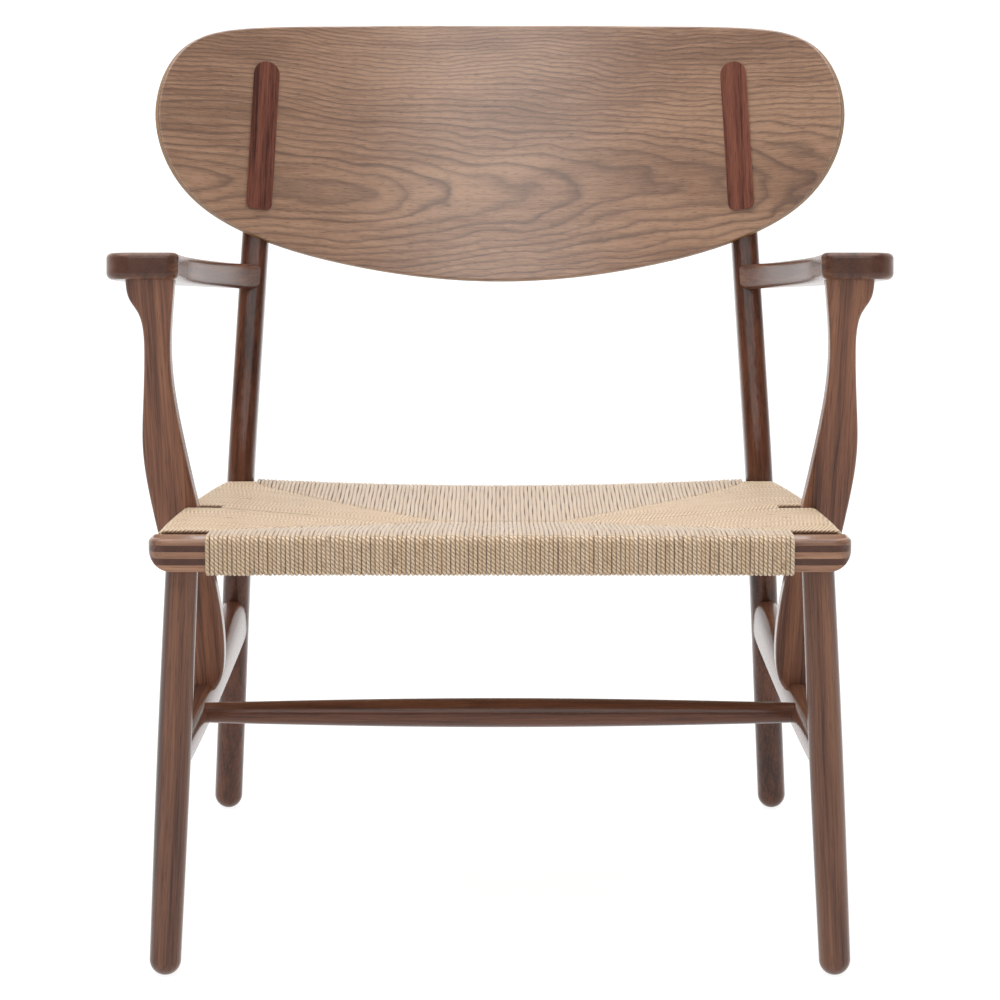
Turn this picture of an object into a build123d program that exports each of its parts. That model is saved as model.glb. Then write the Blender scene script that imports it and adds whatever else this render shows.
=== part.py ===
from build123d import *
import os
from math import atan2, copysign, cos, degrees, pi, sin, sqrt

# Low lounge armchair in solid walnut, with a curved laminated backrest and a
# woven paper cord seat.  Millimetres.  X is to the right as seen from the front,
# Y runs from the front to the back and Z is up from the floor.  The pieces are
# drawn with Y = 0 at the front face of the seat frame; at the end the whole chair
# is moved so that its origin is at the bottom centre of its bounding box.
# Every piece with a twin is drawn on the right, and the left one is its mirror.

# ---------------------------------------------------------------- seat frame
SEAT_FRONT_TOP = 378.6      # height of the seat frame's top front edge
SEAT_SLOPE = 5.7            # degrees, the flat frame falls towards the back
RAIL_THICKNESS = 27.4
FRONT_RAIL_DEPTH = 40.0
FRONT_RAIL_HALF = 293.0     # to the rounded outer end
EAR_PLAN_RADIUS = 16.0
EAR_LOW_RADIUS = 20.0
CORNER_BLOCK_INNER = 243.0  # the finger joint starts here, just under the cord
FINGER_LAYERS = 5
# points on the right rail's outer and inner edges, measured along the sloping frame
SIDE_RAIL_OUTER = [(285.5, 40), (283.6, 130), (279.0, 230), (271.5, 340), (259.0, 462)]
SIDE_RAIL_INNER = [(243.0, 40), (248.5, 72), (252.6, 130), (249.0, 230), (241.5, 340), (229.0, 462)]
REAR_RAIL_HALF = 241.0      # reaches a little way into the posts
REAR_RAIL_FRONT = 452.0
REAR_RAIL_DEPTH = 22.0
REAR_RAIL_SAG = 6.0

# ---------------------------------------------------------------------- legs
FRONT_FOOT = (284.6, 2.5)   # X and Y of the foot's centre
FRONT_LEG_TOP = (266.0, 20.5, 352.0)
FRONT_LEG_RADII = [(0, 13.4), (60, 13.8), (170, 14.35), (260, 14.1), (345, 13.5)]
FOOT_RADIUS = 13.4
FOOT_FLAT_RADIUS = 5.0
REAR_LEG_X_AT_FLOOR = 268.0
REAR_LEG_LEAN_IN = 0.0595   # inwards for each millimetre up
REAR_LEG_BEND = (458.5, 345.0)          # Y and height where the centre line bends
REAR_LEG_BEND_SOFTNESS = 28.0
REAR_LEG_SPLAY = 0.118      # backwards for each millimetre down, below the bend
REAR_POST_LEAN = 0.293      # backwards for each millimetre up, above the bend
REAR_LEG_TOP = 742.0
# height, width, depth and squareness of the rear leg
REAR_LEG_SIZES = [
    (0, 26.8, 26.8, 2.0),
    (120, 26.7, 28.0, 2.1),
    (250, 26.3, 33.5, 2.6),
    (345, 25.8, 37.0, 3.2),
    (520, 25.8, 33.0, 3.6),
    (640, 25.5, 34.0, 3.6),
    (760, 25.0, 28.0, 3.4),
]
REAR_LEG_STEPS = 18

# ---------------------------------------------------------------- stretchers
# Y, centre X, width, height, centre Z and squareness of the sections
SIDE_STRETCHER_SECTIONS = [
    (12, 276.0, 21.0, 25.6, 180.2, 2.4),
    (100, 272.5, 23.5, 29.2, 181.1, 2.5),
    (220, 267.4, 24.8, 31.8, 182.6, 2.6),
    (340, 262.4, 24.8, 38.6, 187.2, 2.8),
    (476, 256.8, 24.0, 47.4, 193.8, 3.0),
]
CROSS_STRETCHER_Y = 165.0
CROSS_STRETCHER_Z = 185.2
CROSS_STRETCHER_END_RADIUS = 8.8
CROSS_STRETCHER_MID_RADIUS = 13.0
CROSS_STRETCHER_HALF = 264.0
CROSS_STRETCHER_TAPER = 0.026           # slope of the profile at the ends
REAR_STRETCHER_HALF = 246.0
REAR_STRETCHER_END = (240.5, 271.5)     # bottom and top at the legs
REAR_STRETCHER_MID = (263.0, 286.0)     # bottom and top of the arch in the middle
REAR_STRETCHER_FRONT = 458.0
REAR_STRETCHER_DEPTH = 20.0

# ------------------------------------------------------------ arms, supports
ARM_FRONT = 208.0
ARM_FRONT_TOP = 589.6
ARM_SLOPE = 10.1
ARM_THICKNESS = 23.6
ARM_NOSE = (281.6, 346.4)   # inner and outer X of the paddle's front end
ARM_NOSE_RADII = (11.0, 22.0)
ARM_TAIL = (225.5, 249.0)   # inner and outer X where the arm enters the post
ARM_LENGTH = 306.0
# points on the right arm's edges, measured along the slope of the arm
ARM_INNER_EDGE = [(280.4, 90), (273.6, 150), (257.6, 226), (241.0, 275), (229.0, 295)]
ARM_OUTER_EDGE = [(336.0, 100), (306.0, 180), (272.0, 246), (253.0, 282)]
ARM_TOP_ROUND = 5.0
ARM_LOW_ROUND = 6.0
ARM_HOUSING = 1.5           # how far the support rises into the arm's rounded edge
SUPPORT_FRONT = 214.0
SUPPORT_THICKNESS = 24.0
SUPPORT_ROUND = 4.0
# points down the outer edge and up the inner edge of the right support
SUPPORT_OUTER_EDGE = [
    (328.7, 578), (328.7, 558), (326.2, 547), (318.8, 535), (314.6, 520), (313.8, 497),
    (315.8, 450), (316.8, 415), (310.4, 365), (298.0, 305), (287.8, 245), (283.0, 184),
]
SUPPORT_INNER_EDGE = [
    (259.0, 189), (250.8, 201), (247.2, 222), (248.2, 252), (255.8, 300),
    (269.4, 363), (282.0, 424), (288.6, 465), (290.5, 504), (288.4, 537), (284.6, 578),
]
LAP_FACE = 271.0            # X where the side rail and the support meet in their lap

# ------------------------------------------------------------------ backrest
BACK_FACE_Y = 530.5         # middle of the front face at the reference height
BACK_FACE_Z = 520.0
BACK_LEAN = degrees(atan2(0.30, 1))
BACK_RADIUS = 650.0         # of the hollow front face
BACK_THICKNESS = 9.6
FACE_VENEER = 1.3
BACK_EDGE_ROUND = 1.6
BACK_CLEARANCE = 90.0       # the post is cut away this far in front of the backrest
BACK_SWEEP = (-110.0, 30.0)  # depths between which the outline is swept
# right half of the front face's outline, from the bottom centre to the top centre
BACK_OUTLINE = [
    (0, -2.3), (138.5, 10.2), (242, 38), (301.8, 82), (322.3, 146), (299, 211), (247, 234),
    (138.5, 243.8), (0, 247.5),
]
CAP_WIDTH = 24.0
CAP_BOTTOM = (230.4, 60.0)  # X, and the distance up the slope of the backrest
CAP_TOP = (222.8, 203.5)
CAP_FOOT_RADIUS = 7.0
CAP_HEAD_RADIUS = 11.9       # all but half of the width
CAP_PROUD = 1.6
CAP_INSET = 3.0
SCREW_PLACES = [(228.6, 95.0), (224.4, 172.0)]
SCREW_LENGTH = 27.0
SCREW_POINT = 5.0
SCREW_RADIUS = 2.3
SCREW_HEAD_RADIUS = 4.4
SCREW_HEAD_HEIGHT = 3.0
SCREW_HEAD_DEPTH = 5.2      # below the hollow front face, measured straight back

# ---------------------------------------------------------------- woven seat
CORD = 3.4                  # thickness of one layer of paper cord
CORD_HALF_FRONT = 244.5     # the cord covers the front rail out to here
CORD_HALF_REAR = 232.0
WEAVE_START = 40.6          # where the cord starts on the side rails
WEAVE_END = 444.0
WEAVE_MID = 247.0
WEAVE_MID_HALF = 53.0       # half length of the line where the four fields meet
WEAVE_SAG = 16.3
WEAVE_MID_THICKNESS = 11.0
WEAVE_GAP = 0.3             # between neighbouring fields of cord
SLOT_INNER = 249.6          # X where the gap for the arm support ends
SLOT_ROOM = 0.8             # between the cord and the arm support
TACK_HEIGHT = -14.0         # below the top of the frame
TACK_PLACES = (120.0, 150.0, 330.0, 360.0)
TACK_HEAD_RADIUS = 3.2
TACK_HEAD_THICKNESS = 1.0
TACK_RADIUS = 0.8
TACK_LENGTH = 12.0
TACK_REACH = 60.0           # a tack's head stands clear of the rail's face this far along it

# -------------------------------------------------------------------- joints
LEG_TENON_RADIUS = 9.5      # front leg, up into the seat frame
LEG_TENON_REACH = (-14.0, 16.0)
CROSS_TENON_RADIUS = 6.0
CROSS_TENON_HALF = 270.0
SIDE_TENON_RADIUS = 7.0
SIDE_TENON_REACH = (8.0, 40.0)
TENON_WIDTH = 11.0
TENON_HEIGHT = 16.0
POST_TENON_Y = (440.0, 482.0)           # side stretcher in the rear leg
POST_TENON_Z = (180.0, 208.0)
REAR_TENON_START = 200.0    # X inside the rear rail and the rear stretcher
REAR_RAIL_HEIGHT = 330.0
RAIL_TENON_Y = (430.0, 459.0)           # side rail in the rear leg
REAR_RAIL_TENON_Y = (461.0, 469.0)
ARM_TENON_Y = (292.0, 318.0)
ARM_TENON_Z = (-18.0, -6.0)
SUPPORT_TENON_WIDTH = 12.0
SUPPORT_TOP_TENON_X = 306.0
SUPPORT_TOP_TENON_Z = (540.0, 577.0)
SUPPORT_FOOT_TENON_X = 268.0
SUPPORT_FOOT_TENON_Z = (186.0, 215.0)

EDGE_ROUND = 4.0
SECTION_POINTS = 20
FAR = 900.0                 # further out than any piece reaches

SEAT_FRAME = Location((0, 0, SEAT_FRONT_TOP), (-SEAT_SLOPE, 0, 0))
ARM_FRAME = Location((0, ARM_FRONT, ARM_FRONT_TOP), (-ARM_SLOPE, 0, 0))
BACK_FRAME = Location((0, BACK_FACE_Y, BACK_FACE_Z), (-BACK_LEAN, 0, 0))
FOOT_CENTRE_Z = sqrt(FOOT_RADIUS**2 - FOOT_FLAT_RADIUS**2)


# ------------------------------------------------------------------- helpers
def section(width, depth, squareness):
    """A smooth closed outline, from an ellipse at 2 towards a rounded rectangle."""
    points = []
    for step in range(SECTION_POINTS):
        angle = 2 * pi * step / SECTION_POINTS
        x = width / 2 * copysign(abs(cos(angle)) ** (2 / squareness), cos(angle))
        y = depth / 2 * copysign(abs(sin(angle)) ** (2 / squareness), sin(angle))
        points.append((x, y))
    return make_face(Spline(points, periodic=True))


def block(x_range, y_range, z_range):
    """A plain box between the given limits."""
    ranges = (x_range, y_range, z_range)
    size = [high - low for low, high in ranges]
    middle = [(high + low) / 2 for low, high in ranges]
    return Pos(*middle) * Box(*size)


def peg(start, end, radius):
    """A round bar from one point to another."""
    axis = Vector(end) - Vector(start)
    return extrude(Plane(origin=start, z_dir=axis) * Circle(radius), axis.length)


def plank(outline, low, high):
    """A flat board of the given outline, between two heights."""
    return extrude(Pos(0, 0, low) * make_face(outline), high - low)


def upright_board(outline, front, back):
    """A board whose outline, drawn as X and Z, faces the front."""
    return extrude(Plane.XZ.offset(-front) * make_face(outline), front - back)


def foot_dome(centre, top):
    """The rounded foot up to a height, flattened where it stands on the floor."""
    return (Pos(*centre) * Sphere(FOOT_RADIUS)) & block((-FAR, FAR), (-FAR, FAR), (0, top))


# ---------------------------------------------------------------------- legs
def front_leg_axis():
    """Start and end of the right front leg's centre line."""
    return Vector(*FRONT_FOOT, FOOT_CENTRE_Z), Vector(*FRONT_LEG_TOP)


def front_leg_blank():
    """The turned right front leg, a gentle cigar shape on a domed foot."""
    foot, top = front_leg_axis()
    profile = Spline([(radius, height) for height, radius in FRONT_LEG_RADII])
    start, end = profile @ 0, profile @ 1
    rest = Polyline((end.X, end.Y), (0, end.Y), (0, start.Y), (start.X, start.Y))
    turned = revolve(Plane.XZ * make_face([profile, rest]), Axis.Z)
    return Plane(origin=foot, z_dir=top - foot) * turned + foot_dome(foot, FAR)


def front_leg_tenon():
    """Round tenon that goes up into the corner of the seat frame."""
    foot, top = front_leg_axis()
    direction = (top - foot).normalized()
    low, high = LEG_TENON_REACH
    return peg(top + direction * low, top + direction * high, LEG_TENON_RADIUS)


def rear_leg_x(height):
    return REAR_LEG_X_AT_FLOOR - REAR_LEG_LEAN_IN * height


def rear_leg_y(height):
    """The centre line's Y: two straight runs with a soft bend between them."""
    bend_y, bend_height = REAR_LEG_BEND
    rise = height - bend_height
    drift = (REAR_POST_LEAN - REAR_LEG_SPLAY) / 2
    fold = (REAR_POST_LEAN + REAR_LEG_SPLAY) / 2
    return bend_y + drift * rise + fold * sqrt(rise**2 + REAR_LEG_BEND_SOFTNESS**2)


def rear_leg_size(height):
    """Width, depth and squareness at a height, between the rows of the table."""
    for low, high in zip(REAR_LEG_SIZES, REAR_LEG_SIZES[1:]):
        if height <= high[0]:
            share = (height - low[0]) / (high[0] - low[0])
            return [a + share * (b - a) for a, b in zip(low[1:], high[1:])]


def rear_leg_blank():
    """The right rear leg and back post in one piece, bent at the seat."""
    sections = []
    for step in range(REAR_LEG_STEPS + 1):
        share = step / REAR_LEG_STEPS
        height = FOOT_CENTRE_Z + share * (REAR_LEG_TOP - FOOT_CENTRE_Z)
        place = Pos(rear_leg_x(height), rear_leg_y(height), height)
        sections.append(place * section(*rear_leg_size(height)))
    foot = (rear_leg_x(FOOT_CENTRE_Z), rear_leg_y(FOOT_CENTRE_Z), FOOT_CENTRE_Z)
    return loft(sections) + foot_dome(foot, FOOT_CENTRE_Z)


# ---------------------------------------------------------------- stretchers
def side_stretcher_blank():
    """The right side stretcher, growing taller towards the rear leg."""
    sections = []
    for y, x, width, height, z, squareness in SIDE_STRETCHER_SECTIONS:
        upright = Plane(origin=(x, y, z), x_dir=(1, 0, 0), z_dir=(0, -1, 0))
        sections.append(upright * section(width, height, squareness))
    return loft(sections)


def cross_stretcher_blank():
    """The turned bar between the side stretchers, thickest in the middle."""
    half = CROSS_STRETCHER_HALF
    ends = CROSS_STRETCHER_END_RADIUS
    profile = Spline(
        (-half, ends), (0, CROSS_STRETCHER_MID_RADIUS), (half, ends),
        tangents=[(1, CROSS_STRETCHER_TAPER), (1, 0), (1, -CROSS_STRETCHER_TAPER)],
    )
    rest = Polyline((half, ends), (half, 0), (-half, 0), (-half, ends))
    bar = revolve(make_face([profile, rest]), Axis.X)
    return Pos(0, CROSS_STRETCHER_Y, CROSS_STRETCHER_Z) * bar


def cross_stretcher_tenons():
    reach = CROSS_TENON_HALF
    y, z = CROSS_STRETCHER_Y, CROSS_STRETCHER_Z
    return peg((-reach, y, z), (reach, y, z), CROSS_TENON_RADIUS)


def rear_stretcher_blank():
    """The arched rail between the rear legs, under the seat."""
    half = REAR_STRETCHER_HALF
    arcs = [
        ThreePointArc((-half, end), (0, middle), (half, end))
        for end, middle in zip(REAR_STRETCHER_END, REAR_STRETCHER_MID)
    ]
    ends = [Line(arcs[0] @ side, arcs[1] @ side) for side in (0, 1)]
    front = REAR_STRETCHER_FRONT
    bar = upright_board(arcs + ends, front, front + REAR_STRETCHER_DEPTH)
    return fillet(bar.edges().filter_by(GeomType.CIRCLE), EDGE_ROUND)


# ---------------------------------------------------------------- seat frame
def frame_slab(low, high):
    """Everything between two depths below the top of the seat frame."""
    return SEAT_FRAME * block((-FAR, FAR), (-FAR, FAR), (-high, -low))


def front_rail_blank():
    """The front rail with its rounded ears, before the corner joints are cut."""
    plan = Pos(0, FRONT_RAIL_DEPTH / 2) * Rectangle(2 * FRONT_RAIL_HALF, FRONT_RAIL_DEPTH)
    plan = fillet(plan.vertices().group_by(Axis.Y)[0], EAR_PLAN_RADIUS)
    face = Pos(0, -RAIL_THICKNESS / 2) * Rectangle(2 * FRONT_RAIL_HALF, RAIL_THICKNESS)
    face = fillet(face.vertices().group_by(Axis.Y)[0], EAR_LOW_RADIUS)
    bar = extrude(plan, -RAIL_THICKNESS)
    bar = fillet(bar.faces().sort_by(Axis.Z)[-1].edges(), EDGE_ROUND)
    bar = bar & extrude(Plane.XZ * face, -FRONT_RAIL_DEPTH)
    return SEAT_FRAME * bar


def corner_tongues(blank):
    """The side rail's layers of the finger joint at the right front corner."""
    layer = RAIL_THICKNESS / FINGER_LAYERS
    corner = blank & block((CORNER_BLOCK_INNER, FAR), (-FAR, FAR), (0, FAR))
    tongues = [corner & frame_slab(n * layer, (n + 1) * layer) for n in (1, 3)]
    return tongues[0] + tongues[1]


def side_rail_outline():
    """Plan of the right side rail, bowed outwards and wider at the front corner."""
    outer = Spline(SIDE_RAIL_OUTER)
    inner = Spline(SIDE_RAIL_INNER)
    return [outer, Line(outer @ 1, inner @ 1), inner, Line(inner @ 0, outer @ 0)]


def side_rail_blank():
    """The right side rail without its joints."""
    rail = plank(side_rail_outline(), -RAIL_THICKNESS, 0)
    long_edges = rail.edges().filter_by(GeomType.BSPLINE)
    return SEAT_FRAME * fillet(long_edges, EDGE_ROUND)


def rear_rail_blank():
    """The rear rail, dipping in the middle."""
    half = REAR_RAIL_HALF
    top = ThreePointArc((-half, 0), (0, -REAR_RAIL_SAG), (half, 0))
    low = Pos(0, -RAIL_THICKNESS) * top
    ends = [Line(top @ side, low @ side) for side in (0, 1)]
    bar = upright_board([top, low] + ends, REAR_RAIL_FRONT, REAR_RAIL_FRONT + REAR_RAIL_DEPTH)
    return SEAT_FRAME * fillet(bar.edges().filter_by(GeomType.CIRCLE), EDGE_ROUND)


# ------------------------------------------------------------ arms, supports
def arm_outline():
    """Plan of the right arm: a paddle that narrows and curves in to the post."""
    inner_x, outer_x = ARM_NOSE
    inner_radius, outer_radius = ARM_NOSE_RADII
    straight_back = [(0, 1), (0, 1)]
    inner = Spline(
        [(inner_x, inner_radius), *ARM_INNER_EDGE, (ARM_TAIL[0], ARM_LENGTH)], tangents=straight_back
    )
    outer = Spline(
        [(outer_x, outer_radius), *ARM_OUTER_EDGE, (ARM_TAIL[1], ARM_LENGTH)], tangents=straight_back
    )
    inner_corner = RadiusArc(inner @ 0, (inner_x + inner_radius, 0), -inner_radius)
    outer_corner = RadiusArc((outer_x - outer_radius, 0), outer @ 0, -outer_radius)
    nose = Line(inner_corner @ 1, outer_corner @ 0)
    return [inner, inner_corner, nose, outer_corner, outer, Line(outer @ 1, inner @ 1)]


def arm_blank():
    """The right arm, softly rounded along all its edges."""
    paddle = plank(arm_outline(), -ARM_THICKNESS, 0)
    for face, radius in ((-1, ARM_TOP_ROUND), (0, ARM_LOW_ROUND)):
        rim = paddle.faces().sort_by(Axis.Z)[face].edges()
        paddle = fillet(rim.sort_by(Axis.Y)[:-1], radius)
    return ARM_FRAME * paddle


def support_blank():
    """The right arm support, a flat board sawn to a flowing outline."""
    outer = Spline(SUPPORT_OUTER_EDGE)
    inner = Spline(SUPPORT_INNER_EDGE)
    ends = [Line(outer @ 1, inner @ 0), Line(inner @ 1, outer @ 0)]
    back = SUPPORT_FRONT + SUPPORT_THICKNESS
    board = upright_board([outer, inner, *ends], SUPPORT_FRONT, back)
    return fillet(board.edges().filter_by(GeomType.BSPLINE), SUPPORT_ROUND)


# ------------------------------------------------------------------ backrest
def back_layer(near, far):
    """A slice of the cylinder between two depths behind the hollow face."""
    tube = Cylinder(BACK_RADIUS + far, FAR) - Cylinder(BACK_RADIUS + near, FAR)
    return BACK_FRAME * Pos(0, -BACK_RADIUS, 0) * tube


def back_prism(face):
    """A sheet outline, drawn as X and slope height, swept through the backrest."""
    return BACK_FRAME * extrude(Plane.XZ.offset(BACK_RADIUS / 2) * face, -BACK_RADIUS)


def back_outline(depth):
    """The backrest's outline, flat-topped with a rounder lower edge, widened with depth."""
    points = []
    for x, height in BACK_OUTLINE:
        points.append((x * (BACK_RADIUS + depth) / sqrt(BACK_RADIUS**2 - x**2), height))
    right = Spline(points, tangents=[(1, 0), (-1, 0)])
    return Plane.XZ.offset(-depth) * make_face([right, mirror(right, Plane.YZ)])


def back_wedge():
    """The outline swept along the radii of the curve, so that the edge is square to it."""
    near, far = BACK_SWEEP
    return BACK_FRAME * loft([back_outline(near), back_outline(far)], ruled=True)


def backrest_blank():
    """The whole curved board, rounded along its edge."""
    board = back_layer(0, BACK_THICKNESS) & back_wedge()
    rim = [edge for edge in board.edges() if edge.length > 2 * BACK_THICKNESS]
    return fillet(rim, BACK_EDGE_ROUND)


def cap_outline():
    """Outline of the right cover cap, half round at the top."""
    (low_x, low), (high_x, high) = CAP_BOTTOM, CAP_TOP
    length = high - low
    tilt = degrees(atan2(low_x - high_x, length))
    strip = Pos(0, length / 2) * Rectangle(CAP_WIDTH, length)
    strip = fillet(strip.vertices().group_by(Axis.Y)[0], CAP_FOOT_RADIUS)
    strip = fillet(strip.vertices().group_by(Axis.Y)[-1], CAP_HEAD_RADIUS)
    return Pos(low_x, low) * Rot(0, 0, tilt) * strip


def cap_blank():
    """The right cover cap, let into the face and standing a little proud of it."""
    return back_layer(-CAP_PROUD, CAP_INSET) & back_prism(cap_outline())


def back_screws():
    """Wood screws that hold the backrest to the right post, under the cap."""
    turned = Polyline(
        (0, 0), (SCREW_HEAD_RADIUS, 0), (SCREW_RADIUS, SCREW_HEAD_HEIGHT),
        (SCREW_RADIUS, SCREW_LENGTH - SCREW_POINT), (0, SCREW_LENGTH), (0, 0),
    )
    screw = revolve(make_face(turned), Axis.Y)
    screws = []
    for x, height in SCREW_PLACES:
        face_y = sqrt(BACK_RADIUS**2 - x**2) - BACK_RADIUS
        screws.append(BACK_FRAME * Pos(x, face_y + SCREW_HEAD_DEPTH, height) * screw)
    return screws


# ---------------------------------------------------------------- woven seat
def weave_profile(outer, inner_face, middle):
    """Side view of one field of cord: round the rail and down to the middle."""
    low = -RAIL_THICKNESS - CORD
    sagged = CORD - WEAVE_SAG
    points = [
        (outer, CORD), (inner_face, CORD), (middle, sagged),
        (middle, sagged - WEAVE_MID_THICKNESS), (inner_face, low), (outer, low),
    ]
    return Polyline(points + points[:1])


def front_weave():
    """Cord round the front rail, running to the line in the middle of the seat."""
    profile = make_face(weave_profile(-CORD, FRONT_RAIL_DEPTH, WEAVE_MID))
    sheet = extrude(Plane.YZ * profile, CORD_HALF_FRONT, both=True)
    corner = (CORD_HALF_FRONT, WEAVE_START - WEAVE_GAP)
    tip = (WEAVE_MID_HALF, WEAVE_MID - WEAVE_GAP)
    plan = Polyline(
        (-corner[0], -CORD), (corner[0], -CORD), corner, tip,
        (-tip[0], tip[1]), (-corner[0], corner[1]), (-corner[0], -CORD),
    )
    return SEAT_FRAME * (sheet & plank(plan, -FAR, FAR))


def rear_weave():
    """Cord round the rear rail, running to the line in the middle of the seat."""
    back = REAR_RAIL_FRONT + REAR_RAIL_DEPTH + CORD
    profile = make_face(weave_profile(back, REAR_RAIL_FRONT, WEAVE_MID))
    sheet = extrude(Plane.YZ * profile, CORD_HALF_REAR, both=True)
    corner = (CORD_HALF_REAR, WEAVE_END + WEAVE_GAP)
    tip = (WEAVE_MID_HALF, WEAVE_MID + WEAVE_GAP)
    plan = Polyline(
        (-corner[0], back), (corner[0], back), corner, tip,
        (-tip[0], tip[1]), (-corner[0], corner[1]), (-corner[0], back),
    )
    return SEAT_FRAME * (sheet & plank(plan, -FAR, FAR))


def side_weave():
    """Cord round the right side rail, running in to a point."""
    outer = max(x for x, y in SIDE_RAIL_OUTER) + CORD
    profile = make_face(weave_profile(outer, CORNER_BLOCK_INNER, WEAVE_MID_HALF))
    sheet = extrude(Plane.XZ * profile, -FAR)
    edge = Spline([(x + CORD, y) for x, y in SIDE_RAIL_OUTER])
    front = (CORD_HALF_FRONT + WEAVE_GAP, WEAVE_START)
    back = (CORD_HALF_REAR + WEAVE_GAP, WEAVE_END)
    tip = (WEAVE_MID_HALF + WEAVE_GAP, WEAVE_MID)
    inside = Polyline(edge @ 1, back, tip, front, edge @ 0)
    ends = block((-FAR, FAR), (WEAVE_START, WEAVE_END), (-FAR, FAR))
    return SEAT_FRAME * (sheet & plank([edge, inside], -FAR, FAR) & ends)


def cord_tacks():
    """Tacks in the inner face of the right side rail that hold the cord's ends."""
    tacks = []
    for y in TACK_PLACES:
        inner_face = min(x for x, at in SIDE_RAIL_INNER if abs(at - y) < TACK_REACH)
        face = (inner_face, y, TACK_HEIGHT)
        head = peg(face, (inner_face - TACK_HEAD_THICKNESS, y, TACK_HEIGHT), TACK_HEAD_RADIUS)
        shank = peg(face, (inner_face + TACK_LENGTH, y, TACK_HEIGHT), TACK_RADIUS)
        tacks.append(SEAT_FRAME * (head + shank))
    return tacks


# -------------------------------------------------------------------- tenons
def around(middle, width):
    """Limits a width apart, either side of a middle."""
    return (middle - width / 2, middle + width / 2)


def side_stretcher_front_tenon():
    """Round tenon of the side stretcher in the front leg."""
    y, x, width, height, z, squareness = SIDE_STRETCHER_SECTIONS[0]
    front, back = SIDE_TENON_REACH
    return peg((x, back, z), (x, front, z), SIDE_TENON_RADIUS)


def side_stretcher_rear_tenon():
    """Upright tenon of the side stretcher in the rear leg."""
    x = SIDE_STRETCHER_SECTIONS[-1][1]
    return block(around(x, TENON_WIDTH), POST_TENON_Y, POST_TENON_Z)


def rear_stretcher_tenon():
    """Tenon of the arched rear stretcher, up to the middle of the rear leg."""
    depth = around(REAR_STRETCHER_FRONT + REAR_STRETCHER_DEPTH / 2, TENON_WIDTH)
    middle = sum(REAR_STRETCHER_END) / 2
    return block((REAR_TENON_START, rear_leg_x(middle)), depth, around(middle, TENON_HEIGHT))


def side_rail_tenon():
    """Tenon of the side seat rail in the rear leg."""
    width = around(rear_leg_x(REAR_RAIL_HEIGHT), TENON_WIDTH)
    height = around(-RAIL_THICKNESS / 2, TENON_HEIGHT)
    return SEAT_FRAME * block(width, RAIL_TENON_Y, height)


def rear_rail_tenon():
    """Tenon of the rear seat rail, just behind the side rail's tenon."""
    x = rear_leg_x(REAR_RAIL_HEIGHT)
    height = around(-RAIL_THICKNESS / 2, TENON_HEIGHT)
    return SEAT_FRAME * block((REAR_TENON_START, x), REAR_RAIL_TENON_Y, height)


def arm_tenon():
    """Tenon of the arm in the post."""
    width = around(sum(ARM_TAIL) / 2, TENON_WIDTH)
    return ARM_FRAME * block(width, ARM_TENON_Y, ARM_TENON_Z)


def support_tenon(x, heights):
    """Tenon of the arm support, in the arm above or in the stretcher below."""
    depth = around(SUPPORT_FRONT + SUPPORT_THICKNESS / 2, SUPPORT_TENON_WIDTH)
    return block(around(x, SUPPORT_TENON_WIDTH), depth, heights)


# ------------------------------------------------------------------ assembly
def both(*right_shapes):
    """Right-hand shapes together with their left-hand mirrors."""
    return [*right_shapes, *(mirror(shape, Plane.YZ) for shape in right_shapes)]


def both_sides(name, right_piece):
    """A piece and its mirror, under left and right names."""
    return {name + "_right": right_piece, name + "_left": mirror(right_piece, Plane.YZ)}


def backrest_nodes(screws):
    """The laminated backrest, its cover caps and the screws under them."""
    board = backrest_blank()
    cap = cap_blank()
    last = BACK_THICKNESS - FACE_VENEER
    face = (board & back_layer(0, FACE_VENEER)) - both(cap)
    core = (board & back_layer(FACE_VENEER, last)) - both(cap) - both(*screws)
    rear = (board & back_layer(last, BACK_THICKNESS)) - both(*screws)
    return {
        "backrest_face_veneer": face,
        "backrest_core": core,
        "backrest_rear_veneer": rear,
        "back_screws": Compound(children=both(*screws)),
        **both_sides("cover_cap", cap - screws),
    }


def weave_nodes(frame, slot, tacks):
    """The four fields of cord, cut clear of everything that they wrap."""
    return {
        "seat_cord_front": front_weave() - frame,
        "seat_cord_rear": rear_weave() - frame,
        **both_sides("seat_cord", side_weave() - frame - slot - tacks),
    }


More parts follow.
